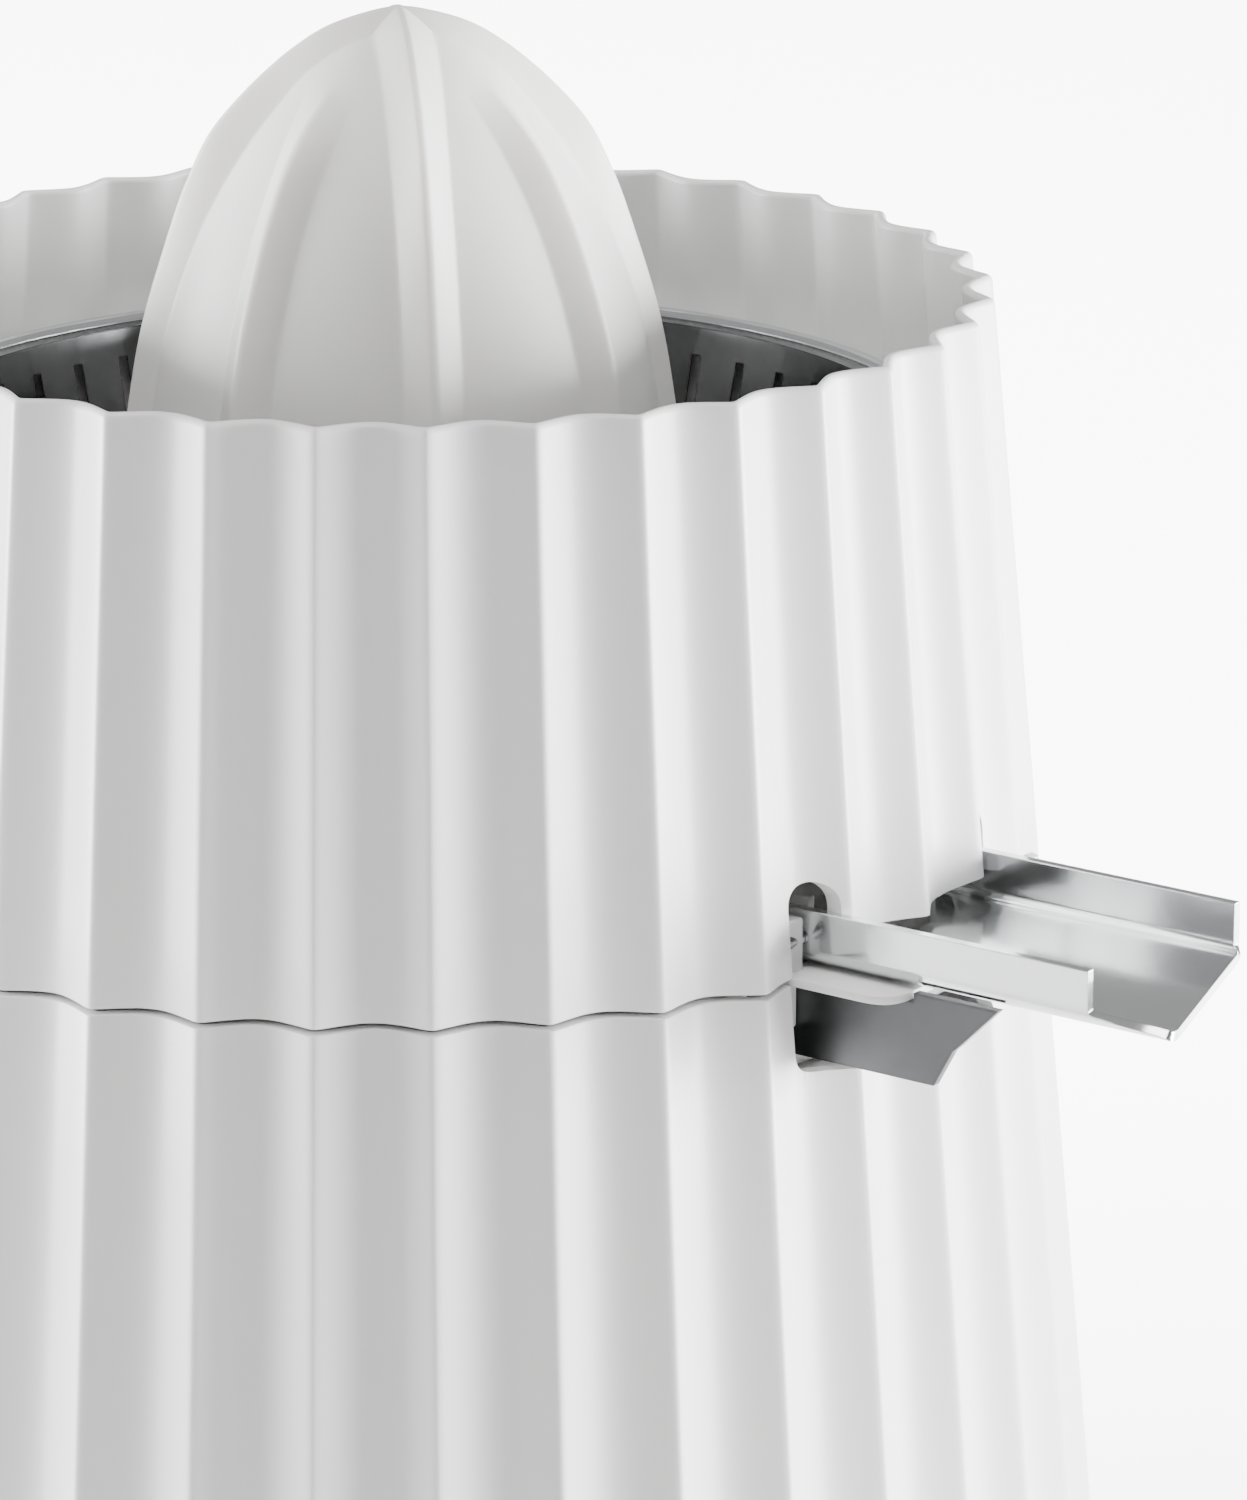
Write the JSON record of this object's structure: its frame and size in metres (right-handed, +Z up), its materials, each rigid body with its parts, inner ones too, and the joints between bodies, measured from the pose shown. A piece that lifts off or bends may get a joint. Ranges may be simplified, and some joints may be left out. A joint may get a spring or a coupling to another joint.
{
  "type": "electric citrus press",
  "caption": "Electric citrus press: ribbed reamer over a steel pulp filter in an open pleated collar, tilting steel spout, motor and gears in a pleated conical housing.",
  "frame": {"origin": "on the press's vertical axis, in the plane that its feet stand on", "axes": "+Z up along the reamer's axis, the spout points to -Y, +X to the spout's left seen from the spout's tip"},
  "size_m": [0.1716, 0.191, 0.2914],
  "materials": {
    "white_shell": "fine satin moulded plastic",
    "white_inner": "satin moulded plastic",
    "reamer_plastic": "soft translucent satin plastic",
    "polished_steel": "polished stainless steel",
    "satin_steel": "satin stainless steel",
    "plain_steel": "turned steel",
    "bronze_bush": "sintered bronze",
    "gear_plastic": "natural acetal",
    "black_plastic": "black moulded plastic",
    "grey_plastic": "grey moulded plastic",
    "grey_rubber": "soft grey rubber",
    "motor_steel": "zinc plated sheet"
  },
  "bodies": {
    "base": {"lower_housing": "white_shell", "base_plate": "grey_plastic", "base_screws": "plain_steel", "rubber_feet": "grey_rubber", "cord_gland": "grey_plastic", "gearbox_base": "black_plastic", "gearbox_cover": "black_plastic", "lower_spindle_bush": "bronze_bush", "upper_spindle_bush": "bronze_bush", "gearbox_screws": "plain_steel", "motor_can": "motor_steel", "motor_rear_cap": "black_plastic", "motor_screws": "plain_steel", "idler_axle": "plain_steel", "switch_bracket": "motor_steel", "microswitch": "black_plastic", "press_return_spring": "plain_steel"},
    "collar": {"upper_collar": "white_shell", "juice_bowl": "white_inner", "chimney_bush": "gear_plastic", "chimney_seal": "grey_rubber", "spout_bracket": "satin_steel", "bracket_screws": "plain_steel", "spout_pivot_pins": "plain_steel"},
    "filter": {"pulp_filter": "polished_steel"},
    "spout": {"spout": "polished_steel"},
    "coupler": {"drive_coupler": "grey_plastic", "coupler_circlip": "plain_steel"},
    "drive_shaft": {"drive_hex": "plain_steel"},
    "reamer": {"reamer": "reamer_plastic"},
    "output": {"output_gear": "gear_plastic"},
    "spindle": {"spindle": "plain_steel", "thrust_cap": "gear_plastic"},
    "idler": {"idler_gear": "gear_plastic"},
    "rotor": {"motor_rotor": "plain_steel", "motor_pinion": "bronze_bush"},
    "plunger": {"switch_plunger": "gear_plastic"}
  },
  "joints": [
    {"name": "collar_lift", "type": "slide", "parent": "base", "child": "collar", "axis": [0, 0, 1], "range_m": [0, 0.12]},
    {"name": "filter_lift", "type": "slide", "parent": "collar", "child": "filter", "axis": [0, 0, 1], "range_m": [0, 0.09]},
    {"name": "spout_tilt", "type": "hinge", "parent": "collar", "child": "spout", "pos_m": [0, -0.0605, 0.2056], "axis": [-1, 0, 0], "range_deg": [0, 10]},
    {"name": "coupler_spin", "type": "hinge", "parent": "collar", "child": "coupler", "pos_m": [0, 0, 0.216], "axis": [0, 0, 1], "continuous": true},
    {"name": "reamer_press", "type": "slide", "parent": "coupler", "child": "drive_shaft", "axis": [0, 0, 1], "range_m": [-0.0025, 0], "stiffness_N_per_m": 1500, "springref_m": 0.003},
    {"name": "reamer_lift", "type": "slide", "parent": "drive_shaft", "child": "reamer", "axis": [0, 0, 1], "range_m": [0, 0.09]},
    {"name": "spindle_spin", "type": "hinge", "parent": "base", "child": "output", "pos_m": [0, 0, 0.128], "axis": [0, 0, 1], "continuous": true},
    {"name": "spindle_press", "type": "slide", "parent": "output", "child": "spindle", "axis": [0, 0, 1], "range_m": [-0.0025, 0], "deforming": ["press_return_spring"]},
    {"name": "idler_spin", "type": "hinge", "parent": "base", "child": "idler", "pos_m": [0, 0.032, 0.124], "axis": [0, 0, 1], "continuous": true},
    {"name": "motor_spin", "type": "hinge", "parent": "base", "child": "rotor", "pos_m": [-0.02304, 0.03872, 0.1], "axis": [0, 0, 1], "continuous": true},
    {"name": "plunger_press", "type": "slide", "parent": "base", "child": "plunger", "axis": [0, 0, 1], "range_m": [-0.0025, 0]}
  ],
  "couplings": [
    {"joint": "coupler_spin", "follows": "spindle_spin", "ratio": 1},
    {"joint": "idler_spin", "follows": "spindle_spin", "ratio": -3.5714},
    {"joint": "motor_spin", "follows": "spindle_spin", "ratio": 14.286},
    {"joint": "spindle_press", "follows": "reamer_press", "ratio": 1},
    {"joint": "plunger_press", "follows": "reamer_press", "ratio": 1}
  ]
}
